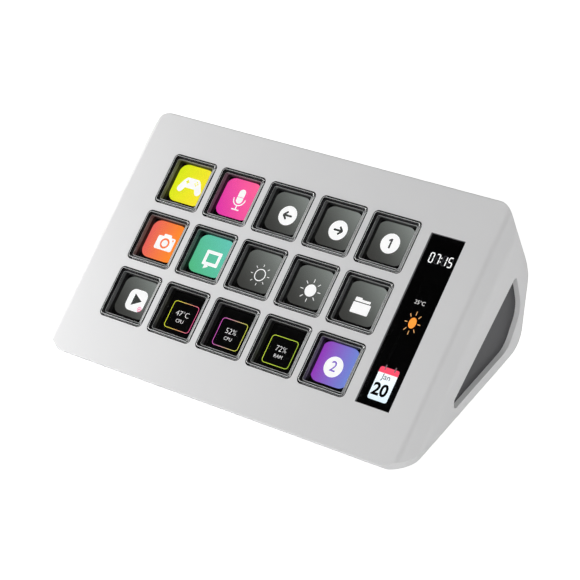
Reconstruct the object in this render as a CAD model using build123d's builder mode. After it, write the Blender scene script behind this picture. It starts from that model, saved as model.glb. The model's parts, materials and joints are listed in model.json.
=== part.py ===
"""Macro keypad: a wedge-shaped desk console with fifteen clear display keys and a strip display.

Millimetres, +Z up. +X is the user's right and the toe of the wedge points along -Y. The origin is
on the table, under the centre of the outline. Flat pieces of the display stack lie parallel to
the sloping face and are placed by their depth below it.
"""

from build123d import *
import math
import os

os.makedirs("parts", exist_ok=True)

# --------------------------------------------------------------------------------------------
# Driving dimensions
# --------------------------------------------------------------------------------------------

# Keys
columns = 5
rows = 3
aperture = 17.15
aperture_radius = 1.6
column_web = 2.05        # bezel left between two apertures, across
row_web = 2.69           # and up the slope
collar_wall = 0.25       # black sleeve that lines each aperture
collar_fit = 0.03        # outside it
collar_running_gap = 0.07    # inside it, to the cap
collar_drop = 0.1        # its edge lies this far below the face
cap_height_proud = 0.3
cap_top_thickness = 1.3
cap_wall = 1.3
cap_edge = 0.4           # rounding of the cap's top edge
flange_overhang = 0.6    # how far a flange reaches under the bezel
flange_thickness = 0.75
flange_running_gap = 0.05
key_travel = 0.8
travel_reserve = 0.05

# Strip display
strip_window_width = 11.8
strip_gap = 3.85         # bezel between the last column and the window
strip_inset_top = 2.2    # the window stops short of the key field
strip_inset_bottom = 0.4
lens_recess = 0.6
lens_gap = 0.1
lens_flange = 0.9
lens_flange_thickness = 0.45
strip_panel_thickness = 1.75
strip_panel_border = 1.1
strip_panel_head = 5.4   # blind end with the driver chip, at the top

# Wedge housing
tilt = 30.0              # slope of the face above the table, degrees
left_margin = 16.4       # bezel round the key field and the strip window
right_margin = 12.6
top_margin = 12.8
bottom_margin = 14.6
toe_thickness = 1.9      # square to the face, at its lower edge
back_lean = 10.5         # upper rear wall from upright, overhanging downwards, degrees
back_length = 14.5       # from the face's top edge to the bend
rear_lean = 24.7         # lower rear wall from upright, undercut, degrees
heel_radius = 9.0
bend_radius = 5.0
edge_chamfer = 3.7       # along the two side edges of the face
chamfer_blend = 2.5      # rounding between the chamfer and the faces beside it
top_corner_radius = 9.5
toe_corner_radius = 10.5
top_edge_radius = 0.6
toe_edge_radius = 0.4
side_edge_radius = 1.2   # where the sides turn under and behind
wall = 1.8
bezel = 1.5              # thickness under the face
toe_block = 8.2          # solid length of the toe in front of the cavity

# Base cover, which closes the underside and the lower rear
cover_thickness = 1.8
seam_gap = 0.15
rear_seam_height = 23.0
ledge_width = 1.5        # ledges on the side walls that the cover seats on
ledge_thickness = 1.2
lip_reach = 2.5          # of the lip behind the rear seam, above and below it
tongue_wall_gap = 22.5   # tongues that hook the cover's front edge under the toe
tongue_width = 14.0
tongue_length = 2.2
tongue_height = 0.8
tongue_gap = 0.1

# Display stack under the keys
mat_thickness = 0.4
mat_ring_step = 0.22     # a ring stands this far inside the cap's outline
mat_ring_wall = 0.9
mat_ring_gap = 0.05
switch_board_thickness = 0.25
guide_web = 0.3          # plate between the bezel and the flanges
guide_gap = 0.08         # between a flange and its cell
guide_border_left = 2.5
guide_border_right = 1.5
guide_border_top = 1.7
guide_border_bottom = 1.2
lcd_short_width = 0.96   # the panel's lit area falls short of the key field's pitch area
lcd_short_height = 5.66
lcd_border_side = 5.2
lcd_border_bottom = 2.9
lcd_border_top = 6.0
lcd_glass_thickness = 1.1
lcd_tray_thickness = 1.3

# Display carrier, screwed to the housing
carrier_thickness = 1.1
carrier_rim = 1.0
carrier_fit = 0.2
carrier_top_inset = 2.0  # the plate stops short of the panel's top edge, where the flexes turn
carrier_cover_gap = 0.6  # and stays this far above the base cover at its lower edge
ear_end = 2.4            # past the screw's centre
ear_width = 7.0
carrier_screw_wall_gap = 4.9
carrier_screw_top_inset = 4.3
carrier_screw_spacing = 31.5
carrier_boss_radius = 2.4

# Main board, on standoffs behind the carrier
standoff_height = 3.0
standoff_radius = 2.2
board_thickness = 1.2
board_inset_left = 9.8   # from the carrier's edges
board_inset_right = 1.8
board_inset_top = 4.8
board_length = 35.0
board_screw_inset = 3.5
chip_height = 1.3
connector_depth = 3.4
connector_height = 1.5
connector_margin = 3.0   # wider than its flex
flex_thickness = 0.2
flex_bend = 1.0
flex_run_out = 1.9       # past the panel's top edge
flex_return = 0.9
lcd_flex_width = 36.0
strip_flex_width = 5.0
strip_flex_offset = -2.8     # from the strip's centre line
switch_flex_width = 12.0
connector_spacing = 1.1      # between the two wide connectors
usb_flex_width = 6.0
usb_flex_inlet = 10.5    # up the slope from the board's lower edge

# USB inlet at the rear
usb_height = 12.2        # above the underside
usb_recess_depth = 2.8   # at its centre
usb_recess_width = 13.0
usb_recess_height = 7.5
usb_recess_radius = 2.2
usb_recess_wall = 1.4
socket_width = 8.94
socket_height = 3.26
socket_length = 7.3
socket_shell = 0.3
socket_gap = 0.15
tongue_plate = 0.7       # contact plate inside the socket
usb_board_width = 18.0
usb_board_length = 13.4
usb_post_radius = 2.2
usb_post_x = 6.6
usb_post_inset = 3.0     # from the board's front edge

# Side recesses and their dark inlays
recess_depth = 1.6
inlay_thickness = 1.0
inlay_gap = 0.1
pocket_floor = 1.3
pocket_margin = 1.6
recess_base_gap = 4.0    # above the underside
recess_nose_back = 25.2  # its blunt front end, behind the toe
recess_nose_height = 3.0
recess_nose_lean = 0.9   # how far back the top of that end is
recess_front_turn = 4.7  # how much flatter than the face its upper edge lies, degrees
recess_rear_gap = 2.5    # its upright rear edge, behind the heel
recess_heel_gap = 6.5    # where its lower edge turns up, in front of the heel
recess_heel_height = 8.3
recess_tip_radius = 1.1
recess_heel_radius = 9.0

# Feet and screws
foot_height = 0.8        # below the underside
foot_recess = 0.6
foot_radius = 4.5
foot_wall_gap = 9.5
foot_front = 14.5        # behind the toe
foot_heel_gap = 13.5     # in front of the heel
cover_screw_wall_gap = 4.3
cover_screw_front = 20.5
cover_screw_heel_gap = 7.0
column_radius = 2.6
screw_fit = 0.05         # between a shank and its hole
cover_screw_shank = 1.15
cover_screw_head = 2.2
cover_screw_length = 7.0
cover_screw_sink = 1.0   # depth of the head's counterbore
small_screw_shank = 0.8
small_screw_head = 1.6
small_head_thickness = 1.0
carrier_screw_length = 4.6
board_screw_length = 3.2
usb_screw_length = 6.0

# --------------------------------------------------------------------------------------------
# Places worked out from them
# --------------------------------------------------------------------------------------------

# Sizes of the face, from the keys and the bezel round them
column_pitch = aperture + column_web
row_pitch = aperture + row_web
field_width = aperture + column_pitch * (columns - 1)
field_height = aperture + row_pitch * (rows - 1)
housing_width = left_margin + field_width + strip_gap + strip_window_width + right_margin
face_length = bottom_margin + field_height + top_margin
grid_offset_x = left_margin + field_width / 2 - housing_width / 2
grid_offset_y = bottom_margin + field_height / 2 - face_length / 2
strip_centre_x = housing_width / 2 - right_margin - strip_window_width / 2
strip_low = bottom_margin + strip_inset_bottom - face_length / 2
strip_high = face_length / 2 - top_margin - strip_inset_top

slope = math.radians(tilt)
along_face = Vector(math.cos(slope), math.sin(slope))      # up the slope, in (Y, Z)
out_of_face = Vector(-math.sin(slope), math.cos(slope))
up_back = Vector(-math.sin(math.radians(back_lean)), math.cos(math.radians(back_lean)))
up_rear = Vector(math.sin(math.radians(rear_lean)), math.cos(math.radians(rear_lean)))


def meet(point_a, way_a, point_b, way_b):
    """Where two lines of the side view cross."""
    cross = way_a.X * way_b.Y - way_a.Y * way_b.X
    between = point_b - point_a
    share = (between.X * way_b.Y - between.Y * way_b.X) / cross
    return point_a + way_a * share


# Corners of the side view, measured from the toe's lower edge
toe_low = Vector(0, 0)
toe_high = out_of_face * toe_thickness
top_edge = toe_high + along_face * face_length
bend = top_edge - up_back * back_length
heel = bend - up_rear * (bend.Y / up_rear.Y)
base_length = heel.X
into_back = Vector(-up_back.Y, up_back.X)
into_rear = Vector(-up_rear.Y, up_rear.X)

half_bend = math.radians(180 - back_lean - rear_lean) / 2
bend_centre = bend + (up_back - up_rear).normalized() * (bend_radius / math.sin(half_bend))
back_reach = bend_centre.X + bend_radius
shift = -(toe_high.X + back_reach) / 2

side_view = Plane(origin=(0, shift, foot_height), x_dir=(0, 1, 0), z_dir=(1, 0, 0))
underside = Plane.XY.offset(foot_height)
face_middle = toe_high + along_face * (face_length / 2)
face = Plane(
    origin=side_view.from_local_coords(face_middle),
    x_dir=(1, 0, 0),
    z_dir=(0, out_of_face.X, out_of_face.Y),
)


def deck(depth, x=0.0, y=0.0):
    """Plane parallel to the face and depth below it, centred at x, y on the face."""
    return Plane(origin=face.from_local_coords((x, y, -depth)), x_dir=face.x_dir, z_dir=face.z_dir)


def key_deck(depth):
    return deck(depth, grid_offset_x, grid_offset_y)


def face_point(y, depth):
    """A point of the side view, given up the slope from the face's middle and below the face."""
    return face_middle + along_face * y - out_of_face * depth


# Depths below the face
flange_top = bezel + guide_web + flange_running_gap
flange_bottom = flange_top + flange_thickness
mat_top = flange_bottom + key_travel + travel_reserve
board_film_top = mat_top + mat_thickness
glass_top = board_film_top + switch_board_thickness
tray_top = glass_top + lcd_glass_thickness
carrier_top = tray_top + lcd_tray_thickness
carrier_back = carrier_top + carrier_thickness
board_front = carrier_back + standoff_height
board_back = board_front + board_thickness
flex_depth = board_back + connector_height / 2
lens_back = bezel + lens_flange_thickness
strip_back = lens_back + strip_panel_thickness

cap_gap = collar_fit + collar_wall + collar_running_gap
cap_size = aperture - 2 * cap_gap
cap_radius = aperture_radius - cap_gap
flange_size = aperture + 2 * flange_overhang
cell_size = flange_size + 2 * guide_gap
half_columns = column_pitch * (columns - 1) / 2
half_rows = row_pitch * (rows - 1) / 2
ring_outside = cap_size - 2 * mat_ring_step
picture_window = ring_outside - 2 * mat_ring_wall

guide_left = grid_offset_x - half_columns - cell_size / 2 - guide_border_left
guide_right = grid_offset_x + half_columns + cell_size / 2 + guide_border_right
guide_bottom = grid_offset_y - half_rows - cell_size / 2 - guide_border_bottom
guide_top = grid_offset_y + half_rows + cell_size / 2 + guide_border_top

lcd_active_width = columns * column_pitch - lcd_short_width
lcd_active_height = rows * row_pitch - lcd_short_height
lcd_left = grid_offset_x - lcd_active_width / 2 - lcd_border_side
lcd_right = grid_offset_x + lcd_active_width / 2 + lcd_border_side
lcd_bottom = grid_offset_y - lcd_active_height / 2 - lcd_border_bottom
lcd_top = grid_offset_y + lcd_active_height / 2 + lcd_border_top

strip_half_width = strip_window_width / 2 + strip_panel_border
strip_window_length = strip_high - strip_low
strip_middle = (strip_low + strip_high) / 2
strip_bottom = strip_low - strip_panel_border
strip_top = strip_high + strip_panel_head

inner_half_width = housing_width / 2 - wall

# The carrier's lower edge comes as near the base cover as its gap allows
carrier_half_width = max(-lcd_left, strip_centre_x + strip_half_width) + carrier_fit + carrier_rim
carrier_high = lcd_top - carrier_top_inset
cover_top = meet(
    face_point(0, carrier_back), along_face, Vector(0, cover_thickness + carrier_cover_gap), Vector(1, 0)
)
carrier_low = max(lcd_bottom, (cover_top - face_middle).dot(along_face))
carrier_screw_x = inner_half_width - carrier_screw_wall_gap
carrier_screw_high = carrier_high - carrier_screw_top_inset
carrier_screw_low = carrier_screw_high - carrier_screw_spacing
carrier_screws_at = [
    (side * carrier_screw_x, y) for side in (1, -1) for y in (carrier_screw_low, carrier_screw_high)
]

board_left = -carrier_half_width + board_inset_left
board_right = carrier_half_width - board_inset_right
board_top = carrier_high - board_inset_top
board_bottom = board_top - board_length
board_screws_at = [
    (x, y)
    for x in (board_left + board_screw_inset, board_right - board_screw_inset)
    for y in (board_bottom + board_screw_inset, board_top - board_screw_inset)
]

# On the underside, by side and distance behind the toe
cover_screws_at = [
    (side * (inner_half_width - cover_screw_wall_gap), shift + back)
    for side in (1, -1)
    for back in (cover_screw_front, base_length - cover_screw_heel_gap)
]
feet_at = [
    (side * (inner_half_width - foot_wall_gap), shift + back)
    for side in (1, -1)
    for back in (foot_front, base_length - foot_heel_gap)
]
tongue_x = inner_half_width - tongue_wall_gap - tongue_width / 2

# USB parts, by height above the underside and distance behind the toe
usb_floor_back = base_length + up_rear.X / up_rear.Y * usb_height - usb_recess_depth
usb_board_top = usb_height - socket_height / 2
usb_board_low = usb_board_top - board_thickness
usb_board_back = usb_floor_back - usb_recess_wall
usb_board_front = usb_board_back - usb_board_length
usb_posts_at = [(side * usb_post_x, shift + usb_board_front + usb_post_inset) for side in (1, -1)]


def save(builder, name):
    """Labels a finished piece and writes it under its own name."""
    builder.part.label = name
    export_step(builder.part, f"parts/{name}.step")


def frame_on(plane, left, right, low, high):
    """Rectangle between four borders measured on the face, as a sketch on the given plane."""
    with BuildSketch(plane) as outline:
        with Locations(((left + right) / 2, (low + high) / 2)):
            Rectangle(right - left, high - low)
    return outline.sketch


# --------------------------------------------------------------------------------------------
# Side views that several pieces share
# --------------------------------------------------------------------------------------------

with BuildSketch(side_view) as wedge_side:
    with BuildLine():
        Polyline(toe_low, heel, bend, top_edge, toe_high, close=True)
    make_face()
    fillet(wedge_side.vertices().sort_by_distance(heel)[0], heel_radius)
    fillet(wedge_side.vertices().sort_by_distance(bend)[0], bend_radius)

# The same with the small roundings that only the outside has
with BuildSketch(side_view) as outer_side:
    add(wedge_side.sketch_local)
    fillet(outer_side.vertices().sort_by_distance(top_edge)[0], top_edge_radius)
    fillet(outer_side.vertices().sort_by_distance(toe_low)[0], toe_edge_radius)
    fillet(outer_side.vertices().sort_by_distance(toe_high)[0], toe_edge_radius)

# The cavity runs under the bezel and behind the walls, and out through the base and lower rear
seam_point = heel + up_rear * (rear_seam_height / up_rear.Y)
roof_start = meet(Vector(toe_block, 0), Vector(0, 1), face_point(0, bezel), along_face)
roof_end = meet(face_point(0, bezel), along_face, top_edge + into_back * wall, up_back)
inner_bend = meet(top_edge + into_back * wall, up_back, bend + into_rear * wall, up_rear)
seam_inside = seam_point + into_rear * wall
outside = 2 * heel_radius
with BuildSketch(side_view) as cavity_side:
    with BuildLine():
        Polyline(
            Vector(toe_block, -outside),
            roof_start,
            roof_end,
            inner_bend,
            seam_inside,
            seam_point - into_rear * outside,
            Vector(base_length + 3 * outside, -outside),
            close=True,
        )
    make_face()

# The cover is a band inside the wedge's outline, between the front seam and the rear seam
cover_front = toe_block + seam_gap
cover_seam = seam_point - up_rear * seam_gap
with BuildSketch(side_view) as cover_reach:
    with BuildLine():
        Polyline(
            Vector(cover_front, -outside),
            Vector(cover_front, cover_thickness + ledge_thickness),
            cover_seam + into_rear * (cover_thickness + ledge_thickness),
            cover_seam - into_rear * outside,
            Vector(base_length + 3 * outside, -outside),
            close=True,
        )
    make_face()


def cover_band(outer_inset, inner_inset):
    """Band that follows the underside and the lower rear, between two depths inside the outline."""
    with BuildSketch(side_view) as band:
        add(wedge_side.sketch_local)
        if outer_inset > 0:
            offset(amount=-outer_inset, kind=Kind.INTERSECTION, mode=Mode.REPLACE)
        offset(wedge_side.sketch_local, amount=-inner_inset, kind=Kind.INTERSECTION, mode=Mode.SUBTRACT)
        add(cover_reach.sketch_local, mode=Mode.INTERSECT)
    return band.sketch


# The recess in each side: a blunt front end, an upper edge nearly along the face, an upright rear edge
recess_slope = math.radians(tilt - recess_front_turn)
recess_way = Vector(math.cos(recess_slope), math.sin(recess_slope))
recess_rear = base_length + recess_rear_gap
recess_nose = Vector(recess_nose_back, recess_base_gap)
recess_nose_top = recess_nose + Vector(recess_nose_lean, recess_nose_height)
recess_tip = meet(recess_nose_top, recess_way, Vector(recess_rear, 0), Vector(0, 1))
recess_heel_high = Vector(recess_rear, recess_base_gap + recess_heel_height)
recess_heel_low = Vector(base_length - recess_heel_gap, recess_base_gap)


def recess_outline(plane, grow=0.0):
    """Outline of the side recess on a plane that faces along X, grown or shrunk all round."""
    with BuildSketch(plane) as outline:
        with BuildLine():
            Polyline(
                recess_nose, recess_nose_top, recess_tip, recess_heel_high, recess_heel_low, close=True
            )
        make_face()
        for corner in (recess_heel_low, recess_heel_high):
            fillet(outline.vertices().sort_by_distance(corner)[0], recess_heel_radius)
        for corner in (recess_nose, recess_nose_top, recess_tip):
            fillet(outline.vertices().sort_by_distance(corner)[0], recess_tip_radius)
        if grow:
            offset(amount=grow, kind=Kind.INTERSECTION, mode=Mode.REPLACE)
    return outline.sketch


# Looking along the upper back wall the wedge is a rectangle with rounded corners
corner_view = Plane(
    origin=side_view.from_local_coords(top_edge),
    x_dir=(1, 0, 0),
    z_dir=(0, up_back.X, up_back.Y),
)
corner_length = (toe_high - top_edge).dot(into_back)


def corner_outline(inset=0.0):
    """The rounded rectangle that all outside corners follow, shrunk all round by an inset."""
    toe_side = -1 if corner_view.y_dir.Y > 0 else 1
    with BuildSketch(corner_view) as outline:
        with Locations((0, toe_side * corner_length / 2)):
            Rectangle(housing_width - 2 * inset, corner_length - 2 * inset)
        toe_corners = outline.vertices().filter_by(lambda v: v.Y * toe_side > corner_length / 2)
        fillet(toe_corners, toe_corner_radius - inset)
        top_corners = outline.vertices().filter_by(lambda v: v.Y * toe_side < corner_length / 4)
        fillet(top_corners, top_corner_radius - inset)
    return outline.sketch


through = 4 * face_length
crown_view = Plane(origin=face.origin, x_dir=(-1, 0, 0), z_dir=(0, along_face.X, along_face.Y))


def crown_outline(depth, side_inset, corner_cut, blend):
    """Seen along the slope: a face between two side chamfers, at a depth below the bezel's top."""
    with BuildSketch(crown_view) as outline:
        with Locations((0, -depth)):
            Rectangle(housing_width - 2 * side_inset, through, align=(Align.CENTER, Align.MAX))
        chamfer(outline.vertices().filter_by(lambda v: v.Y > -through / 2), corner_cut)
        if blend:
            fillet(outline.vertices().filter_by(lambda v: v.Y > -through / 2), blend)
    return outline.sketch


# --------------------------------------------------------------------------------------------
# Housing
# --------------------------------------------------------------------------------------------

inner_chamfer = edge_chamfer + wall * (math.sqrt(2) - 1) - bezel

with BuildPart() as cavity:
    extrude(cavity_side.sketch, amount=inner_half_width, both=True)
    extrude(crown_outline(bezel, wall, inner_chamfer, 0), amount=through, both=True, mode=Mode.INTERSECT)
    extrude(corner_outline(wall), amount=through, both=True, mode=Mode.INTERSECT)

# What stands inside the housing also stays above the cover
with BuildPart() as above_cover:
    with BuildSketch(side_view):
        offset(wedge_side.sketch_local, amount=-cover_thickness, kind=Kind.INTERSECTION)
    extrude(amount=housing_width / 2, both=True)
    add(cavity.part, mode=Mode.INTERSECT)

with BuildPart() as cover_columns:
    with BuildSketch(underside.offset(cover_thickness)):
        with Locations(*cover_screws_at):
            Circle(column_radius)
    extrude(amount=face_length)
    add(above_cover.part, mode=Mode.INTERSECT)

with BuildPart() as side_pads:
    pad_inner = housing_width / 2 - recess_depth - inlay_thickness - pocket_floor
    extrude(recess_outline(side_view, pocket_margin), amount=inner_half_width, both=True)
    extrude(recess_outline(side_view, pocket_margin), amount=pad_inner, both=True, mode=Mode.SUBTRACT)
    add(above_cover.part, mode=Mode.INTERSECT)

with BuildPart() as ledges:
    extrude(cover_band(cover_thickness, cover_thickness + ledge_thickness), amount=inner_half_width, both=True)
    extrude(
        cover_band(cover_thickness, cover_thickness + ledge_thickness),
        amount=inner_half_width - ledge_width,
        both=True,
        mode=Mode.SUBTRACT,
    )
    # A lip across the rear seam, behind the cover's top edge
    with BuildSketch(side_view):
        lip_middle = seam_point + into_rear * (cover_thickness + ledge_thickness / 2)
        with Locations(Location((lip_middle.X, lip_middle.Y), 90 - rear_lean)):
            Rectangle(2 * lip_reach, ledge_thickness)
    extrude(amount=inner_half_width, both=True)
    add(cavity.part, mode=Mode.INTERSECT)


def turns_under(edge):
    """Tells the edges round a side's underside and rear from those of its face and toe."""
    runs_with_face = abs(edge.tangent_at(0.5).dot(crown_view.z_dir)) > 0.999
    return not runs_with_face and edge.length > toe_thickness


with BuildPart() as front_housing:
    extrude(outer_side.sketch, amount=housing_width / 2, both=True)
    side_faces = front_housing.faces().filter_by(Axis.X)
    fillet([e for e in side_faces.edges() if turns_under(e)], side_edge_radius)
    extrude(crown_outline(0, 0, edge_chamfer, chamfer_blend), amount=through, both=True, mode=Mode.INTERSECT)
    extrude(corner_outline(), amount=through, both=True, mode=Mode.INTERSECT)
    add(cavity.part, mode=Mode.SUBTRACT)
    add(cover_columns.part)
    add(side_pads.part)
    add(ledges.part)
    # Key apertures and the strip display's window
    with BuildSketch(key_deck(0)):
        with GridLocations(column_pitch, row_pitch, columns, rows):
            RectangleRounded(aperture, aperture, aperture_radius)
    extrude(amount=-bezel, mode=Mode.SUBTRACT)
    with BuildSketch(deck(0, strip_centre_x, strip_middle)):
        Rectangle(strip_window_width, strip_window_length)
    extrude(amount=-bezel, mode=Mode.SUBTRACT)
    # Bosses for the display carrier
    with BuildSketch(deck(bezel)):
        with Locations(*carrier_screws_at):
            Circle(carrier_boss_radius)
    extrude(amount=-(carrier_top - bezel))
    with BuildSketch(deck(carrier_top)):
        with Locations(*carrier_screws_at):
            Circle(small_screw_shank + screw_fit)
    extrude(amount=carrier_screw_length - carrier_thickness, mode=Mode.SUBTRACT)
    # Pilot holes up the columns
    with BuildSketch(underside.offset(cover_thickness)):
        with Locations(*cover_screws_at):
            Circle(cover_screw_shank + screw_fit)
    extrude(amount=cover_screw_length, mode=Mode.SUBTRACT)
    # Slots in the toe for the cover's tongues
    with BuildSketch(underside.offset(cover_thickness - tongue_height - tongue_gap)):
        slot_length = tongue_length + tongue_gap
        with Locations((tongue_x, shift + toe_block - slot_length / 2), (-tongue_x, shift + toe_block - slot_length / 2)):
            Rectangle(tongue_width + 2 * tongue_gap, slot_length)
    extrude(amount=tongue_height + 2 * tongue_gap, mode=Mode.SUBTRACT)
    # Side pockets, which hold the inlays below a visible recess
    for side in (1, -1):
        side_wall = Plane(
            origin=side_view.origin + Vector(side * housing_width / 2, 0, 0),
            x_dir=side_view.x_dir,
            z_dir=side_view.z_dir,
        )
        extrude(
            recess_outline(side_wall),
            amount=-side * (recess_depth + inlay_thickness),
            mode=Mode.SUBTRACT,
        )
save(front_housing, "front_housing")

for side, name in ((1, "side_inlay_right"), (-1, "side_inlay_left")):
    pocket_floor_plane = Plane(
        origin=side_view.origin + Vector(side * (housing_width / 2 - recess_depth - inlay_thickness), 0, 0),
        x_dir=side_view.x_dir,
        z_dir=side_view.z_dir,
    )
    with BuildPart() as side_inlay:
        extrude(recess_outline(pocket_floor_plane, -inlay_gap), amount=side * inlay_thickness)
    save(side_inlay, name)

# --------------------------------------------------------------------------------------------
# Base cover with its plug recess
# --------------------------------------------------------------------------------------------

rear_view = Plane(
    origin=(0, shift + usb_floor_back, foot_height + usb_height),
    x_dir=(-1, 0, 0),
    z_dir=(0, 1, 0),
)

with BuildPart() as recess_box:
    with BuildSketch(rear_view.offset(-usb_recess_wall)):
        RectangleRounded(
            usb_recess_width + 2 * usb_recess_wall,
            usb_recess_height + 2 * usb_recess_wall,
            usb_recess_radius + usb_recess_wall,
        )
    extrude(amount=through)
    add(extrude(wedge_side.sketch, amount=housing_width / 4, both=True, mode=Mode.PRIVATE), mode=Mode.INTERSECT)

with BuildPart() as base_cover:
    extrude(cover_band(0, cover_thickness), amount=inner_half_width - seam_gap, both=True)
    extrude(corner_outline(wall + seam_gap), amount=through, both=True, mode=Mode.INTERSECT)
    with BuildSketch(underside.offset(cover_thickness - tongue_height)):
        tongue_middle = shift + cover_front - tongue_length / 2
        with Locations((tongue_x, tongue_middle), (-tongue_x, tongue_middle)):
            Rectangle(tongue_width, tongue_length)
    extrude(amount=tongue_height)
    add(recess_box.part)
    # Posts for the USB board
    with BuildSketch(underside.offset(cover_thickness)):
        with Locations(*usb_posts_at):
            Circle(usb_post_radius)
    extrude(amount=usb_board_low - cover_thickness)
    with BuildSketch(underside.offset(usb_board_low)):
        with Locations(*usb_posts_at):
            Circle(small_screw_shank + screw_fit)
    extrude(amount=-(usb_screw_length - board_thickness), mode=Mode.SUBTRACT)
    # Plug recess, and the slot that the socket's mouth stands in
    with BuildSketch(rear_view):
        RectangleRounded(usb_recess_width, usb_recess_height, usb_recess_radius)
    extrude(amount=through, mode=Mode.SUBTRACT)
    with BuildSketch(rear_view):
        SlotOverall(socket_width + 2 * socket_gap, socket_height + 2 * socket_gap)
    extrude(amount=-usb_recess_wall, mode=Mode.SUBTRACT)
    # Screw holes with sunk heads, and shallow seats for the feet
    with BuildSketch(underside):
        with Locations(*cover_screws_at):
            Circle(cover_screw_head + seam_gap)
    extrude(amount=cover_screw_sink, mode=Mode.SUBTRACT)
    with BuildSketch(underside):
        with Locations(*cover_screws_at):
            Circle(cover_screw_shank + seam_gap)
    extrude(amount=cover_thickness, mode=Mode.SUBTRACT)
    with BuildSketch(underside):
        with Locations(*feet_at):
            Circle(foot_radius + seam_gap)
    extrude(amount=foot_recess, mode=Mode.SUBTRACT)
save(base_cover, "base_cover")

with BuildPart() as rubber_feet:
    with BuildSketch(Plane.XY):
        with Locations(*feet_at):
            Circle(foot_radius)
    extrude(amount=foot_height + foot_recess)
    fillet(rubber_feet.edges().group_by(Axis.Z)[0], foot_height / 3)
save(rubber_feet, "rubber_feet")

# --------------------------------------------------------------------------------------------
# Keys: one clear cap in each aperture, kept in by its flange
# --------------------------------------------------------------------------------------------

for row in range(rows):
    for column in range(columns):
        key_x = grid_offset_x - half_columns + column * column_pitch
        key_y = grid_offset_y + half_rows - row * row_pitch
        with BuildPart() as keycap:
            with BuildSketch(deck(flange_bottom, key_x, key_y)):
                RectangleRounded(cap_size, cap_size, cap_radius)
            extrude(amount=flange_bottom + cap_height_proud)
            cap_top = keycap.faces().filter_by(face, tolerance=1e-4).sort_by(Axis.Z)[-1]
            fillet(cap_top.edges(), cap_edge)
            with BuildSketch(deck(flange_bottom, key_x, key_y)):
                RectangleRounded(flange_size, flange_size, aperture_radius)
            extrude(amount=flange_thickness)
            with BuildSketch(deck(flange_bottom, key_x, key_y)):
                RectangleRounded(cap_size - 2 * cap_wall, cap_size - 2 * cap_wall, cap_wall / 2)
            extrude(amount=flange_bottom + cap_height_proud - cap_top_thickness, mode=Mode.SUBTRACT)
        save(keycap, f"keycap_r{row + 1}c{column + 1}")

# --------------------------------------------------------------------------------------------
# Sheets under the keys
# --------------------------------------------------------------------------------------------

collar_outside = aperture - 2 * collar_fit
collar_inside = collar_outside - 2 * collar_wall
with BuildPart() as key_guide_frame:
    extrude(frame_on(deck(mat_top), guide_left, guide_right, guide_bottom, guide_top), amount=mat_top - bezel)
    # A collar through each aperture
    with BuildSketch(key_deck(bezel)):
        with GridLocations(column_pitch, row_pitch, columns, rows):
            RectangleRounded(collar_outside, collar_outside, aperture_radius - collar_fit)
    extrude(amount=bezel - collar_drop)
    with BuildSketch(key_deck(mat_top)):
        with GridLocations(column_pitch, row_pitch, columns, rows):
            RectangleRounded(collar_inside, collar_inside, aperture_radius - collar_fit - collar_wall)
    extrude(amount=mat_top - collar_drop, mode=Mode.SUBTRACT)
    # A cell for each flange
    with BuildSketch(key_deck(mat_top)):
        with GridLocations(column_pitch, row_pitch, columns, rows):
            RectangleRounded(cell_size, cell_size, aperture_radius + guide_gap)
    extrude(amount=mat_top - bezel - guide_web, mode=Mode.SUBTRACT)
save(key_guide_frame, "key_guide_frame")

with BuildPart() as silicone_mat:
    extrude(frame_on(deck(board_film_top), guide_left, guide_right, guide_bottom, guide_top), amount=mat_thickness)
    with BuildSketch(key_deck(mat_top)):
        with GridLocations(column_pitch, row_pitch, columns, rows):
            RectangleRounded(ring_outside, ring_outside, aperture_radius)
    extrude(amount=mat_top - flange_bottom - mat_ring_gap)
    with BuildSketch(key_deck(board_film_top)):
        with GridLocations(column_pitch, row_pitch, columns, rows):
            RectangleRounded(picture_window, picture_window, aperture_radius / 2)
    extrude(amount=board_film_top - flange_bottom, mode=Mode.SUBTRACT)
save(silicone_mat, "silicone_mat")

with BuildPart() as switch_board:
    extrude(frame_on(deck(glass_top), guide_left, guide_right, guide_bottom, guide_top), amount=switch_board_thickness)
    with BuildSketch(key_deck(glass_top)):
        with GridLocations(column_pitch, row_pitch, columns, rows):
            RectangleRounded(picture_window, picture_window, aperture_radius / 2)
    extrude(amount=switch_board_thickness, mode=Mode.SUBTRACT)
save(switch_board, "switch_board")

# --------------------------------------------------------------------------------------------
# Displays
# --------------------------------------------------------------------------------------------

with BuildPart() as lcd_panel:
    extrude(frame_on(deck(tray_top), lcd_left, lcd_right, lcd_bottom, lcd_top), amount=lcd_glass_thickness)
save(lcd_panel, "lcd_panel")

with BuildPart() as lcd_backlight:
    extrude(frame_on(deck(carrier_top), lcd_left, lcd_right, lcd_bottom, lcd_top), amount=lcd_tray_thickness)
save(lcd_backlight, "lcd_backlight")

with BuildPart() as strip_lens:
    with BuildSketch(deck(bezel, strip_centre_x, strip_middle)):
        Rectangle(strip_window_width - 2 * lens_gap, strip_window_length - 2 * lens_gap)
    extrude(amount=bezel - lens_recess)
    with BuildSketch(deck(lens_back, strip_centre_x, strip_middle)):
        Rectangle(strip_window_width + 2 * lens_flange, strip_window_length + 2 * lens_flange)
    extrude(amount=lens_flange_thickness)
save(strip_lens, "strip_lens")

with BuildPart() as strip_display:
    strip_left = strip_centre_x - strip_half_width
    strip_right = strip_centre_x + strip_half_width
    extrude(
        frame_on(deck(strip_back), strip_left, strip_right, strip_bottom, strip_top),
        amount=strip_panel_thickness,
    )
save(strip_display, "strip_display")

# --------------------------------------------------------------------------------------------
# Display carrier
# --------------------------------------------------------------------------------------------

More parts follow.
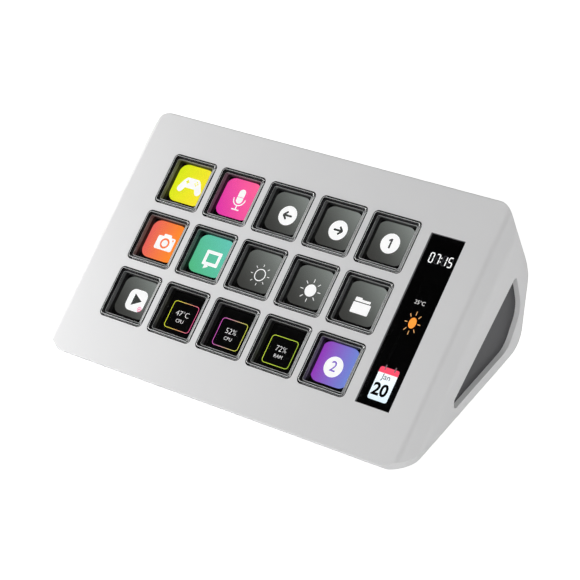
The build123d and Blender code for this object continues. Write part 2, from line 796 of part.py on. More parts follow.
with BuildPart() as display_carrier:
    extrude(
        frame_on(deck(carrier_back), -carrier_half_width, carrier_half_width, carrier_low, carrier_high),
        amount=carrier_thickness,
    )
    # Rims at both sides, up to the bezel
    for side in (1, -1):
        rim_middle = side * (carrier_half_width - carrier_rim / 2)
        extrude(
            frame_on(
                deck(carrier_top),
                rim_middle - carrier_rim / 2,
                rim_middle + carrier_rim / 2,
                carrier_low,
                carrier_high,
            ),
            amount=carrier_top - bezel,
        )
    # Rails that carry the strip display beside the larger panel
    rail_left = lcd_right + carrier_fit
    rail_right = strip_centre_x + strip_half_width
    for rail_middle in (rail_left + carrier_rim / 2, rail_right - carrier_rim / 2):
        extrude(
            frame_on(
                deck(carrier_top),
                rail_middle - carrier_rim / 2,
                rail_middle + carrier_rim / 2,
                carrier_low,
                carrier_high,
            ),
            amount=carrier_top - strip_back,
        )
    # Screw ears
    for high in (carrier_screw_low, carrier_screw_high):
        with BuildSketch(deck(carrier_back, 0, high)):
            Rectangle(2 * (carrier_screw_x + ear_end), ear_width)
        extrude(amount=carrier_thickness)
    # Standoffs for the main board
    with BuildSketch(deck(carrier_back)):
        with Locations(*board_screws_at):
            Circle(standoff_radius)
    extrude(amount=-standoff_height)
    with BuildSketch(deck(board_front)):
        with Locations(*board_screws_at):
            Circle(small_screw_shank + screw_fit)
    extrude(amount=board_screw_length - board_thickness, mode=Mode.SUBTRACT)
    with BuildSketch(deck(carrier_back)):
        with Locations(*carrier_screws_at):
            Circle(small_screw_shank + screw_fit)
    extrude(amount=carrier_thickness, mode=Mode.SUBTRACT)
save(display_carrier, "display_carrier")

# --------------------------------------------------------------------------------------------
# Main board, its chips, connectors and flexes
# --------------------------------------------------------------------------------------------

with BuildPart() as main_board:
    extrude(frame_on(deck(board_back), board_left, board_right, board_bottom, board_top), amount=board_thickness)
    with BuildSketch(deck(board_back)):
        with Locations(*board_screws_at):
            Circle(small_screw_shank + seam_gap)
    extrude(amount=board_thickness, mode=Mode.SUBTRACT)
save(main_board, "main_board")

# Processor, memory, hub, power chips and a crystal: place from the board's middle, and size
chips = (
    (-28, -3.5, 12, 12),
    (-11, 6.5, 9, 6),
    (18, -2.5, 8, 14),
    (34, 2.5, 7, 7),
    (6, 7.5, 5, 5),
    (-42, -5.5, 5, 3.2),
)
board_middle = ((board_left + board_right) / 2, (board_bottom + board_top) / 2)
with BuildPart() as main_chips:
    with BuildSketch(deck(board_back, *board_middle)):
        for chip_x, chip_y, chip_width, chip_length in chips:
            with Locations((chip_x, chip_y)):
                Rectangle(chip_width, chip_length)
    extrude(amount=-chip_height)
save(main_chips, "main_chips")


def make_connector(name, x, mouth, width):
    """Flat-cable connector on the back of the main board, its mouth facing up the slope."""
    with BuildPart() as connector:
        with BuildSketch(deck(board_back, x, mouth - connector_depth / 2)):
            Rectangle(width, connector_depth)
        extrude(amount=-connector_height)
    save(connector, name)


def make_flex(name, x, width, path_points):
    """Flat cable that follows a path in the side view, as wide as given along X."""
    middle = Plane(origin=side_view.origin + Vector(x, 0, 0), x_dir=side_view.x_dir, z_dir=side_view.z_dir)
    with BuildPart() as flex:
        with BuildSketch(middle):
            with BuildLine() as route:
                FilletPolyline(*path_points, radius=flex_bend)
            trace(route.line, flex_thickness)
        extrude(amount=width / 2, both=True)
    save(flex, name)


strip_flex_x = strip_centre_x + strip_flex_offset
switch_flex_side = (lcd_flex_width + switch_flex_width) / 2 + connector_margin + connector_spacing
switch_flex_x = grid_offset_x - switch_flex_side
sheet_flexes = (
    ("lcd", grid_offset_x, lcd_flex_width, lcd_top, (glass_top + tray_top) / 2),
    ("strip", strip_flex_x, strip_flex_width, strip_top, (lens_back + strip_back) / 2),
    ("switch", switch_flex_x, switch_flex_width, guide_top, (board_film_top + glass_top) / 2),
)
flex_crest = max(lcd_top, strip_top, guide_top) + flex_run_out
flex_turn = lcd_top - flex_return
for name, x, width, edge, depth in sheet_flexes:
    make_connector(f"{name}_connector", x, board_top, width + connector_margin)
    make_flex(
        f"{name}_flex",
        x,
        width,
        (
            face_point(edge + screw_fit, depth),
            face_point(flex_crest, depth),
            face_point(flex_turn, flex_depth),
            face_point(board_top + seam_gap, flex_depth),
        ),
    )

# --------------------------------------------------------------------------------------------
# USB board, socket and its flex to the main board
# --------------------------------------------------------------------------------------------

with BuildPart() as usb_board:
    with BuildSketch(underside.offset(usb_board_low)):
        with Locations((0, shift + (usb_board_front + usb_board_back) / 2)):
            Rectangle(usb_board_width, usb_board_length)
        with Locations(*usb_posts_at):
            Circle(small_screw_shank + seam_gap, mode=Mode.SUBTRACT)
    extrude(amount=board_thickness)
save(usb_board, "usb_board")

with BuildPart() as usb_socket:
    with BuildSketch(rear_view):
        SlotOverall(socket_width, socket_height)
    extrude(amount=-socket_length)
    with BuildSketch(rear_view):
        SlotOverall(socket_width - 2 * socket_shell, socket_height - 2 * socket_shell)
    extrude(amount=-(socket_length - 2 * socket_shell), mode=Mode.SUBTRACT)
    with BuildSketch(rear_view.offset(-socket_length + socket_shell)):
        Rectangle(socket_width - socket_height, tongue_plate)
    extrude(amount=socket_length - 3 * socket_shell)
save(usb_socket, "usb_socket")

usb_inlet_y = board_bottom + usb_flex_inlet
make_connector("usb_connector", 0, usb_inlet_y, usb_flex_width + connector_margin)

usb_flex_start = face_point(usb_inlet_y + seam_gap, flex_depth)
usb_plug_back = usb_board_front + connector_depth / 2 + seam_gap
usb_plug_top = usb_board_top + connector_height
usb_flex_crest = meet(usb_flex_start, along_face, Vector(usb_plug_back, 0), Vector(0, 1))
make_flex(
    "usb_flex",
    0,
    usb_flex_width,
    (Vector(usb_plug_back, usb_plug_top + screw_fit), usb_flex_crest, usb_flex_start),
)

with BuildPart() as usb_board_connector:
    with BuildSketch(underside.offset(usb_board_top)):
        with Locations((0, shift + usb_plug_back)):
            Rectangle(usb_flex_width + connector_margin, connector_depth)
    extrude(amount=connector_height)
save(usb_board_connector, "usb_board_connector")

# --------------------------------------------------------------------------------------------
# Screws
# --------------------------------------------------------------------------------------------


def make_screws(name, seats, head_radius, head_thickness, shank_radius, length):
    """Pan-head screws, one on each seat plane, whose shanks run along the plane's Z."""
    with BuildPart() as screws:
        for seat in seats:
            with BuildSketch(seat):
                Circle(shank_radius)
            extrude(amount=length)
            with BuildSketch(seat):
                Circle(head_radius)
            extrude(amount=-head_thickness)
            with BuildSketch(seat.offset(-head_thickness)):
                RegularPolygon(head_radius / 2, 6)
            extrude(amount=head_thickness / 2, mode=Mode.SUBTRACT)
    save(screws, name)


cover_seats = [Plane(origin=(x, y, foot_height + cover_screw_sink)) for x, y in cover_screws_at]
carrier_seats = [deck(carrier_back, x, y) for x, y in carrier_screws_at]
board_seats = [deck(board_back, x, y) for x, y in board_screws_at]
usb_seats = [
    Plane(origin=(x, y, foot_height + usb_board_top), x_dir=(1, 0, 0), z_dir=(0, 0, -1))
    for x, y in usb_posts_at
]
make_screws(
    "cover_screws", cover_seats, cover_screw_head, cover_screw_sink, cover_screw_shank, cover_screw_length
)
make_screws(
    "carrier_screws",
    carrier_seats,
    small_screw_head,
    small_head_thickness,
    small_screw_shank,
    carrier_screw_length - screw_fit,
)
make_screws(
    "board_screws",
    board_seats,
    small_screw_head,
    small_head_thickness,
    small_screw_shank,
    board_screw_length - screw_fit,
)
make_screws(
    "usb_board_screws",
    usb_seats,
    small_screw_head,
    small_head_thickness,
    small_screw_shank,
    usb_screw_length - screw_fit,
)
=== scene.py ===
# %% [markdown]
# # A macro keypad in Blender
#
# The object is a small wedge-shaped keypad for a desk: fifteen clear keys in front of one colour display, a
# narrow status display beside them, and a pale grey plastic housing. Its exact solids come from CAD, one for each
# separate part, and they are loaded here as a fixed frame. Blender adds what CAD leaves out: the optical
# shape of the clear caps, the pictures that shine through them, and the finish of every material.

# %% Load the frame
import json
import math

import bmesh
import bpy
from mathutils import Matrix, Vector

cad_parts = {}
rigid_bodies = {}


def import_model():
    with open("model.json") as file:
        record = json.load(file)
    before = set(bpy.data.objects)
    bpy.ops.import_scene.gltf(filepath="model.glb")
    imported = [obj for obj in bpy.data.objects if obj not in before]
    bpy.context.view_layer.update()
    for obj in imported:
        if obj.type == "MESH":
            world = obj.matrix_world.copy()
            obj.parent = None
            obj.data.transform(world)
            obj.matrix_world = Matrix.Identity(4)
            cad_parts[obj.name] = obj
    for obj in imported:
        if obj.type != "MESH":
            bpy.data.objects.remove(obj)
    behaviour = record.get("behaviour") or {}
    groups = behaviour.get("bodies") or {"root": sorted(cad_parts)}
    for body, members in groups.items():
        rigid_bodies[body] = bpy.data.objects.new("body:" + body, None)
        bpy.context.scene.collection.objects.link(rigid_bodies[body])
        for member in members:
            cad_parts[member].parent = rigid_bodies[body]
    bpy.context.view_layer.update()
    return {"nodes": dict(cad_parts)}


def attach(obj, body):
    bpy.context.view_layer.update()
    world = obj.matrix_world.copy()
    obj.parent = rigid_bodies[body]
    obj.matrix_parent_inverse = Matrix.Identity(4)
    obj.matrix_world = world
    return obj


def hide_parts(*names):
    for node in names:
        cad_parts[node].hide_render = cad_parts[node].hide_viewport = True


for leftover in list(bpy.data.objects):
    bpy.data.objects.remove(leftover)
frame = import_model()
parts = frame["nodes"]

# %% [markdown]
# Everything on the keypad lies on or under its sloping face, so it helps to work in the face's own directions:
# across, up the slope, and out of the face. The three directions and one origin make a matrix. A shape is then
# drawn flat in millimetres, and the matrix puts it in its place on the object in metres.

# %% Directions of the sloping face
MM = 0.001
FACE_TILT = math.radians(30)

across = Vector((1, 0, 0))
up_slope = Vector((0, math.cos(FACE_TILT), math.sin(FACE_TILT)))
out_of_face = Vector((0, -math.sin(FACE_TILT), math.cos(FACE_TILT)))


def reach(part, direction):
    """Lowest and highest distance of a part's points along a direction, in metres."""
    distances = [point.co.dot(direction) for point in parts[part].data.vertices]
    return min(distances), max(distances)


def middle(part, direction):
    return sum(reach(part, direction)) / 2


face_level = reach("front_housing", out_of_face)[1]
print("the face lies", round(face_level / MM, 2), "mm out from the origin")


# %% Place on the face
def on_face(x, slope, depth):
    """Matrix that takes a drawing in mm to the face: x and slope in metres, depth in mm below the face."""
    origin = across * x + up_slope * slope + out_of_face * (face_level - depth * MM)
    turned = Matrix((across, up_slope, out_of_face)).transposed().to_4x4()
    return Matrix.Translation(origin) @ turned @ Matrix.Scale(MM, 4)


KEYS = [f"r{row}c{column}" for row in (1, 2, 3) for column in (1, 2, 3, 4, 5)]
key_x = {key: middle("keycap_" + key, across) for key in KEYS}
key_slope = {key: middle("keycap_" + key, up_slope) for key in KEYS}
print("key pitch across:", round((key_x["r1c2"] - key_x["r1c1"]) / MM, 2), "mm")
print("key pitch up the slope:", round((key_slope["r1c1"] - key_slope["r2c1"]) / MM, 2), "mm")

# %% [markdown]
# The camera comes before the modelling, so that every later piece can be seen through it. It is a short
# telephoto view from the right and above, a little rolled, which is common for product shots. It is aimed at a
# point on the face near the middle of the object, so a change of distance keeps the framing.

# %% Camera
LENS = 128.6
VIEW_DISTANCE = 0.6122
AIM_RIGHT = 14.5
AIM_DOWN = 2.8
look = Vector((-0.5567, 0.5703, -0.6039))
camera_up = Vector((-0.2504, 0.5780, 0.7767))

aim = on_face(key_x["r2c3"] + AIM_RIGHT * MM, key_slope["r2c3"] - AIM_DOWN * MM, 0).translation
camera_right = look.cross(camera_up).normalized()
camera_up = camera_right.cross(look).normalized()
camera_data = bpy.data.cameras.new("product_camera")
camera_data.lens = LENS
camera_data.sensor_width = 36
camera_data.clip_start = 0.01
camera = bpy.data.objects.new("product_camera", camera_data)
camera_axes = Matrix((camera_right, camera_up, -look.normalized())).transposed().to_4x4()
camera.matrix_world = Matrix.Translation(aim - look.normalized() * VIEW_DISTANCE) @ camera_axes
bpy.context.scene.collection.objects.link(camera)
bpy.context.scene.camera = camera
print("camera stands at", [round(value, 3) for value in camera.location])

# %% [markdown]
# ## Finishes
#
# Materials are made before shapes, so that a piece gets its finish as it is made. Colours are written as sRGB hex
# values, as most colour charts give them, while Blender's shaders work in linear light. One function does that
# change. A second one adds a node with its values and links, which keeps each material to a few lines.


# %% Colour and node helpers
def linear(hex_colour):
    """An sRGB hex colour as linear RGBA."""
    channels = [int(hex_colour[place:place + 2], 16) / 255 for place in (1, 3, 5)]
    return [c / 12.92 if c <= 0.04045 else ((c + 0.055) / 1.055) ** 2.4 for c in channels] + [1.0]


def add_node(tree, kind, values=None, links=None, **settings):
    """Adds a node; values and links are keyed by the input's name or place."""
    node = tree.nodes.new(kind)
    for name, value in settings.items():
        setattr(node, name, value)
    for name, value in (values or {}).items():
        node.inputs[name].default_value = value
    for name, source in (links or {}).items():
        tree.links.new(source, node.inputs[name])
    return node


def new_finish(name, hex_colour, **values):
    """A material with one Principled shader. Underscores in the value names stand for spaces."""
    material = bpy.data.materials.new(name)
    material.use_nodes = True
    shader = material.node_tree.nodes["Principled BSDF"]
    shader.inputs["Base Color"].default_value = linear(hex_colour)
    for words, value in values.items():
        shader.inputs[words.replace("_", " ")].default_value = value
    return material, material.node_tree, shader


print("middle grey in linear light:", round(linear("#808080")[0], 3))

# %% [markdown]
# Moulded plastic gets its look from the mould. The steel is spark eroded, which leaves a fine even grain that kills
# glare without looking rough. The real grain is about 0.05 mm, too fine to show in a render, so it is drawn
# several times coarser and very shallow. A second, larger noise shifts the colour by about one percent, as
# in a real moulding. All of the textured plastics here are one recipe with different numbers.


# %% Textured plastic
def textured_plastic(name, hex_colour, paler_hex, roughness, grain, grain_depth):
    """grain and grain_depth are in mm."""
    material, tree, shader = new_finish(name, hex_colour, Roughness=roughness, IOR=1.53)
    place = add_node(tree, "ShaderNodeTexCoord").outputs["Object"]
    cloud = add_node(tree, "ShaderNodeTexNoise", {"Scale": 1 / (18 * MM), "Detail": 2.0}, {"Vector": place})
    shade = add_node(
        tree, "ShaderNodeMix", {6: linear(hex_colour), 7: linear(paler_hex)}, {0: cloud.outputs["Fac"]},
        data_type="RGBA",
    )
    tree.links.new(shade.outputs[2], shader.inputs["Base Color"])
    sparks = add_node(tree, "ShaderNodeTexNoise", {"Scale": 1 / (grain * MM), "Detail": 3.0}, {"Vector": place})
    bump = add_node(
        tree, "ShaderNodeBump", {"Strength": 0.6, "Distance": grain_depth * MM}, {"Height": sparks.outputs["Fac"]}
    )
    tree.links.new(bump.outputs["Normal"], shader.inputs["Normal"])
    return material


housing_abs = textured_plastic("pale_grey_textured_abs", "#dbdbdc", "#dfdfdf", 0.46, 0.35, 0.012)
inlay_abs = textured_plastic("dark_grey_textured_abs", "#3b3b3d", "#404042", 0.55, 0.35, 0.015)
guide_abs = textured_plastic("black_abs", "#050506", "#080809", 0.7, 0.3, 0.006)
guide_abs.node_tree.nodes["Principled BSDF"].inputs["Specular IOR Level"].default_value = 0.1
carrier_pc = textured_plastic("charcoal_polycarbonate", "#2c2d2f", "#323335", 0.5, 0.4, 0.012)
print("textured plastics: housing, inlays, key guide, display carrier")

# %% [markdown]
# The caps are clear polycarbonate, polished in the mould, and the status window is clear acrylic. Both are smooth
# enough that they are seen only by what they bend and reflect, so they are glass-like: full transmission and the
# plastic's own index of refraction, 1.585 and 1.49. A clear block also gathers light and gives it off again along
# its sharp edges. That thin pale line is what draws the outline of a cap, and here it is a painted highlight: the
# edges get a pale, dull, opaque finish of their own. Gathered light takes many bounces to work out, so a faint
# glow stands in for it. That is a shortcut for a lit room, since in the dark a real edge would not glow. The walls of
# the hollow are matt, as the mould's eroded steel leaves them, and their smoky grey is painted shade for the dim
# view through the clear top.


# %% Clear plastics
def clear_plastic(name, ior):
    material, tree, shader = new_finish(name, "#ffffff", Roughness=0.0, IOR=ior)
    shader.inputs["Transmission Weight"].default_value = 1.0
    return material


cap_polycarbonate = clear_plastic("clear_polycarbonate", 1.585)
window_acrylic = clear_plastic("clear_acrylic", 1.49)
# painted highlight: the pale edge colour, varying at random, and its faint glow stand in for light gathered along a
# clear edge
edge_highlight_polycarbonate, edge_tree, edge_shader = new_finish(
    "polycarbonate_edge_painted_highlight", "#dfe2e2", Roughness=0.5, IOR=1.585, Emission_Strength=0.25,
    Emission_Color=(1.0, 1.0, 1.0, 1.0),
)
place = add_node(edge_tree, "ShaderNodeTexCoord").outputs["Object"]
highlight_variation = add_node(edge_tree, "ShaderNodeTexNoise", {"Scale": 1 / (4 * MM), "Detail": 2.0}, {"Vector": place})
shade = add_node(
    edge_tree, "ShaderNodeMix", {6: linear("#b9bcbc"), 7: linear("#f2f4f4")}, {0: highlight_variation.outputs["Fac"]},
    data_type="RGBA",
)
edge_tree.links.new(shade.outputs[2], edge_shader.inputs["Base Color"])
# painted shade: the hollow's walls are matt, and their smoky grey stands in for the dim view through the clear cap
matt_wall_painted_shade = textured_plastic("polycarbonate_wall_painted_shade", "#6c6e6e", "#787a7a", 0.6, 0.3, 0.01)
print("clear plastics:", cap_polycarbonate.name, "and", window_acrylic.name)

# %% [markdown]
# Under the caps lie a silicone spring mat, a printed contact film and the display's own glass. All three are
# nearly black, and they differ in gloss: silicone is soft and dull, polyester film shines a little, and display
# glass is smooth under an anti-reflection layer. The mat's flat tops get painted light, a shade lighter than its
# black upright walls: the mix follows how squarely the surface looks out of the keypad's face.


# %% Mat, film and display glass
def dark_layer(name, hex_colour, paler_hex, roughness, speck):
    """speck is the size of its dust or print grain in mm."""
    material, tree, shader = new_finish(name, hex_colour, Roughness=roughness, IOR=1.42)
    place = add_node(tree, "ShaderNodeTexCoord").outputs["Object"]
    dust = add_node(tree, "ShaderNodeTexNoise", {"Scale": 1 / (speck * MM), "Detail": 4.0}, {"Vector": place})
    shade = add_node(
        tree, "ShaderNodeMix", {6: linear(hex_colour), 7: linear(paler_hex)}, {0: dust.outputs["Fac"]},
        data_type="RGBA",
    )
    tree.links.new(shade.outputs[2], shader.inputs["Base Color"])
    return material


mat_silicone = dark_layer("black_silicone_rubber", "#0c0c0d", "#161617", 0.62, 1.5)
mat_tree = mat_silicone.node_tree
# painted light: the lighter colour goes on faces that look out of the keypad's face
facing = add_node(mat_tree, "ShaderNodeNewGeometry").outputs["Normal"]
tops = add_node(
    mat_tree, "ShaderNodeVectorMath", {1: out_of_face}, {0: facing}, operation="DOT_PRODUCT"
).outputs["Value"]
dust = mat_tree.nodes["Mix"].outputs[2]
tops_painted_lighter = add_node(mat_tree, "ShaderNodeMix", {7: linear("#343436")}, {0: tops, 6: dust}, data_type="RGBA")
mat_tree.links.new(tops_painted_lighter.outputs[2], mat_tree.nodes["Principled BSDF"].inputs["Base Color"])
film_polyester = dark_layer("printed_polyester_film", "#070708", "#0c0c0e", 0.4, 2.5)
display_glass = dark_layer("display_glass", "#030304", "#050506", 0.12, 6.0)
display_glass.node_tree.nodes["Principled BSDF"].inputs["Specular IOR Level"].default_value = 0.2
foot_rubber = dark_layer("rubber_foot", "#1b1b1c", "#262627", 0.85, 0.8)
# painted shade: this grey stands for the shaded wall of the status window's recess
shade_strip_finish = dark_layer("grey_strip_painted_shade", "#6e6e70", "#7e7e80", 0.9, 0.8)
print("dark layers: mat, film, display glass, feet, gasket")

# %% [markdown]
# The parts inside are seen only when the housing is opened, and each still has its own finish. Steel is rolled, so
# its fine scratches run one way: the noise is stretched along the sheet. Circuit boards are glass fibre under a green
# solder mask with copper tracks below it, and the flat cables are amber polyimide with parallel tracks at a pitch of
# half a millimetre, drawn 1 mm apart.


# %% Metals
def rolled_metal(name, hex_colour, roughness, scratch):
    """scratch is the distance between rolling marks in mm."""
    material, tree, shader = new_finish(name, hex_colour, Roughness=roughness, Metallic=1.0)
    place = add_node(tree, "ShaderNodeTexCoord").outputs["Object"]
    stretched = add_node(tree, "ShaderNodeMapping", {"Scale": (0.05, 1.0, 1.0)}, {"Vector": place})
    marks = add_node(
        tree, "ShaderNodeTexNoise", {"Scale": 1 / (scratch * MM), "Detail": 2.0},
        {"Vector": stretched.outputs["Vector"]},
    )
    bump = add_node(
        tree, "ShaderNodeBump", {"Strength": 0.3, "Distance": 0.01 * MM}, {"Height": marks.outputs["Fac"]}
    )
    tree.links.new(bump.outputs["Normal"], shader.inputs["Normal"])
    return material


tray_steel = rolled_metal("rolled_steel_tray", "#b9bbbe", 0.34, 0.4)
socket_steel = rolled_metal("nickel_plated_steel", "#cfccc4", 0.26, 0.3)
screw_steel = rolled_metal("black_oxide_steel", "#4a4a4d", 0.38, 0.3)
print("metals: tray, socket shell, screws")


# %% Circuit boards and flat cables
def tracked_sheet(name, hex_colour, track_hex, roughness, pitch, direction):
    """A sheet with parallel tracks under its surface. pitch in mm; direction is X or Y."""
    material, tree, shader = new_finish(name, hex_colour, Roughness=roughness)
    place = add_node(tree, "ShaderNodeTexCoord").outputs["Object"]
    tracks = add_node(
        tree, "ShaderNodeTexWave", {"Scale": 0.314 / (pitch * MM), "Distortion": 0.0}, {"Vector": place},
        bands_direction=direction,
    )
    edge = add_node(tree, "ShaderNodeMapRange", {1: 0.45, 2: 0.6}, {0: tracks.outputs["Fac"]})
    shade = add_node(
        tree, "ShaderNodeMix", {6: linear(hex_colour), 7: linear(track_hex)}, {0: edge.outputs[0]},
        data_type="RGBA",
    )
    tree.links.new(shade.outputs[2], shader.inputs["Base Color"])
    return material


board_fr4 = tracked_sheet("green_solder_mask", "#0e3f27", "#14532f", 0.38, 1.8, "Y")
flex_polyimide = tracked_sheet("amber_polyimide_flex", "#a85c1c", "#7d4012", 0.32, 1.0, "X")
connector_lcp = textured_plastic("ivory_connector_plastic", "#e2d8c0", "#e8dfca", 0.45, 0.4, 0.01)
chip_epoxy = textured_plastic("black_chip_epoxy", "#161719", "#1d1e20", 0.62, 0.2, 0.01)
print("board, flexes, connectors and chips have their finish")

# %% [markdown]
# Each CAD part now takes its finish. The parts keep their shape, and only the material in their slots is
# changed. The list goes from the first words of a part's name to a finish, and the flat cables, connectors and screws
# are told by the last word of theirs.

# %% Give the CAD parts their finish
finish_by_name = {
    "front_housing": housing_abs,
    "base_cover": housing_abs,
    "side_inlay": inlay_abs,
    "keycap": cap_polycarbonate,
    "key_guide": guide_abs,
    "strip_lens": window_acrylic,
    "strip_display": display_glass,
    "silicone_mat": mat_silicone,
    "switch_board": film_polyester,
    "lcd_panel": display_glass,
    "lcd_backlight": tray_steel,
    "display_carrier": carrier_pc,
    "main_board": board_fr4,
    "usb_board": board_fr4,
    "main_chips": chip_epoxy,
    "usb_socket": socket_steel,
    "rubber_feet": foot_rubber,
}
for name, part in parts.items():
    finish = next((given for start, given in finish_by_name.items() if name.startswith(start)), guide_abs)
    if name.endswith("_flex"):
        finish = flex_polyimide
    if name.endswith("_connector"):
        finish = connector_lcp
    if name.endswith("_screws"):
        finish = screw_steel
    for material_slot in part.material_slots:
        material_slot.material = finish
print("finishes given to", len(parts), "parts")

# %% [markdown]
# ## The clear caps
#
# A cap is a block of clear plastic, hollowed from below, with a flange round its foot that keeps it under the
# bezel. Light bends at every one of its faces, so its shape matters more than that of any other part: a wrong radius
# shows at once. One way would be a cube with bevels and a boolean. Here the cap is instead a stack of rounded square
# outlines that are bridged one to the next, from the ceiling of the hollow, down and out round the flange, and up
# over the rounded top edge. The mesh is closed and even, and each outline is one line of numbers.

# %% Outlines of a cap
CAP_SIZE = 16.45
CAP_CORNER = 1.25
CAP_PROUD = 0.3
CAP_EDGE = 0.4
FLANGE_SIZE = 18.35
FLANGE_CORNER = 1.6
FLANGE_TOP = 1.85
FLANGE_BOTTOM = 2.6
HOLLOW_SIZE = 14.3
HOLLOW_CORNER = 0.7
HOLLOW_CEILING = 1.0
ROUNDING_STEPS = 6
INNER_EDGE = 0.12

cap_outlines = [
    (HOLLOW_SIZE - 2 * INNER_EDGE, HOLLOW_CORNER - INNER_EDGE, HOLLOW_CEILING),
    (HOLLOW_SIZE, HOLLOW_CORNER, HOLLOW_CEILING + INNER_EDGE),
    (HOLLOW_SIZE, HOLLOW_CORNER, FLANGE_BOTTOM),
    (FLANGE_SIZE, FLANGE_CORNER, FLANGE_BOTTOM),
    (FLANGE_SIZE, FLANGE_CORNER, FLANGE_TOP),
    (CAP_SIZE, CAP_CORNER, FLANGE_TOP),
]
for step in range(ROUNDING_STEPS + 1):
    turn = math.radians(90) * step / ROUNDING_STEPS
    drawn_in = CAP_EDGE * (1 - math.cos(turn))
    depth = CAP_EDGE - CAP_PROUD - CAP_EDGE * math.sin(turn)
    cap_outlines.append((CAP_SIZE - 2 * drawn_in, CAP_CORNER - drawn_in, depth))
print("outlines from hollow to top:", len(cap_outlines))


# %% Rounded square
def rounded_square(bm, width, height, corner, corner_steps=6):
    """Adds a flat face round the origin, in mm: a grid of one face with its corners bevelled. Returns its points."""
    known = set(bm.verts)
    made = bmesh.ops.create_grid(bm, x_segments=1, y_segments=1, size=0.5)["verts"]
    bmesh.ops.scale(bm, vec=(width, height, 1), verts=made)
    if corner > 0:
        bmesh.ops.bevel(
            bm, geom=made, offset=corner, segments=corner_steps, profile=0.5, affect="VERTICES", material=-1
        )
    return [point for point in bm.verts if point not in known]


print("a helper for every rounded square on the object")


# %% Turn a drawing into a piece
def make_piece(bm, name, place, material, body="root"):
    """Puts a drawing in its place, and makes it an object that rides on a body."""
    if bm.calc_volume(signed=True) < 0:
        bmesh.ops.reverse_faces(bm, faces=bm.faces)
    bmesh.ops.transform(bm, matrix=place, verts=bm.verts)
    mesh = bpy.data.meshes.new(name)
    bm.to_mesh(mesh)
    bm.free()
    mesh.materials.append(material)
    piece = bpy.data.objects.new(name, mesh)
    bpy.context.scene.collection.objects.link(piece)
    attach(piece, body)
    return piece


print("pieces are named, finished and put on their body in one place")

# %% [markdown]
# Two outlines that lie in one plane can be bridged askew, so the outlines are stacked well apart, bridged, and
# only then moved to their depths. Flat faces of a clear block must shade flat, and only the rounded ones smooth, or
# the block looks like a lens. A face counts as flat when it looks along one of the directions it was drawn in.

# %% Model the caps
APART = 10
# band 0 at the hollow's ceiling edge and the last band of the top rounding carry the painted edge highlight; band 1,
# the hollow's wall, carries the painted smoky shade
EDGE_HIGHLIGHT, SHADED_WALL = 1, 2
BAND_FINISH = {0: EDGE_HIGHLIGHT, len(cap_outlines) - 2: EDGE_HIGHLIGHT, 1: SHADED_WALL}


def make_cap(key):
    """One clear cap, closed, with a painted highlight on its edges and painted shade on its hollow's walls, on the
    body of its key.
    """
    bm = bmesh.new()
    ring_points, ring_edges = [], []
    for number, (size, corner, depth) in enumerate(cap_outlines):
        points = rounded_square(bm, size, size, corner)
        bmesh.ops.translate(bm, vec=(0, 0, APART * number), verts=points)
        ring_points.append(points)
        ring_edges.append(list({edge for point in points for edge in point.link_edges}))
    ends = (ring_edges[0][0].link_faces[0], ring_edges[-1][0].link_faces[0])
    bmesh.ops.delete(bm, geom=[face for face in bm.faces if face not in ends], context="FACES_ONLY")
    for number, (lower, upper) in enumerate(zip(ring_edges, ring_edges[1:])):
        band = bmesh.ops.bridge_loops(bm, edges=lower + upper)["faces"]
        for face in band:
            face.material_index = BAND_FINISH.get(number, 0)
    for number, (size, corner, depth) in enumerate(cap_outlines):
        bmesh.ops.translate(bm, vec=(0, 0, -depth - APART * number), verts=ring_points[number])
    bmesh.ops.recalc_face_normals(bm, faces=bm.faces)
    for face in bm.faces:
        face.smooth = max(abs(part) for part in face.normal) < 0.999
    place = on_face(key_x[key], key_slope[key], 0)
    cap = make_piece(bm, "cap_" + key, place, cap_polycarbonate, "key_" + key)
    cap.data.materials.append(edge_highlight_polycarbonate)
    cap.data.materials.append(matt_wall_painted_shade)
    return cap


caps = {key: make_cap(key) for key in KEYS}
for key, cap in caps.items():
    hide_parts("keycap_" + key)
print("caps:", len(caps), "with", len(caps["r1c1"].data.polygons), "faces each")

# %% [markdown]
# ## The pictures
#
# All fifteen pictures are one display that lies 4 mm under the face, and each cap is a window on its share of it.
# They could be painted as an image, but plates a few hundredths of a millimetre thick stay sharp at any distance and
# can be changed one at a time. A coloured tile lies lowest, a white mark on it, and details in the tile's dark or
# bright colour on the mark. They glow by themselves, because a display makes its own light.

# %% Glowing colours
PLATE = 0.02


def glow(name, hex_colour, far_hex=None, direction=0.0, strength=1.1, blend_type="LINEAR"):
    """Light of a display. With a second colour it blends across the piece's picture map, in degrees."""
    material, tree, shader = new_finish(name, "#000000", Roughness=0.4)
    dimmed = [0.25 * channel for channel in linear(hex_colour)[:3]]
    shader.inputs["Base Color"].default_value = dimmed + [1.0]
    shader.inputs["Specular IOR Level"].default_value = 0.0
    shader.inputs["Emission Strength"].default_value = strength
    shader.inputs["Emission Color"].default_value = linear(hex_colour)
    if far_hex:
        spread = add_node(tree, "ShaderNodeUVMap", uv_map="picture").outputs["UV"]
        way = Vector((math.cos(math.radians(direction)), math.sin(math.radians(direction)), 0))
        reach_across = abs(way.x) + abs(way.y)
        start = 0.5 - (way.x + way.y) / 2 / reach_across
        turned = add_node(
            tree, "ShaderNodeMapping",
            {
                "Location": (start, 0, 0),
                "Rotation": (0, 0, -math.radians(direction)),
                "Scale": (1 / reach_across, 1 / reach_across, 1),
            },
            {"Vector": spread},
        )
        ramp = add_node(
            tree, "ShaderNodeTexGradient", links={"Vector": turned.outputs["Vector"]}, gradient_type=blend_type
        )
        blend = add_node(
            tree, "ShaderNodeMix", {6: linear(hex_colour), 7: linear(far_hex)}, {0: ramp.outputs["Fac"]},
            data_type="RGBA",
        )
        tree.links.new(blend.outputs[2], shader.inputs["Emission Color"])
    return material


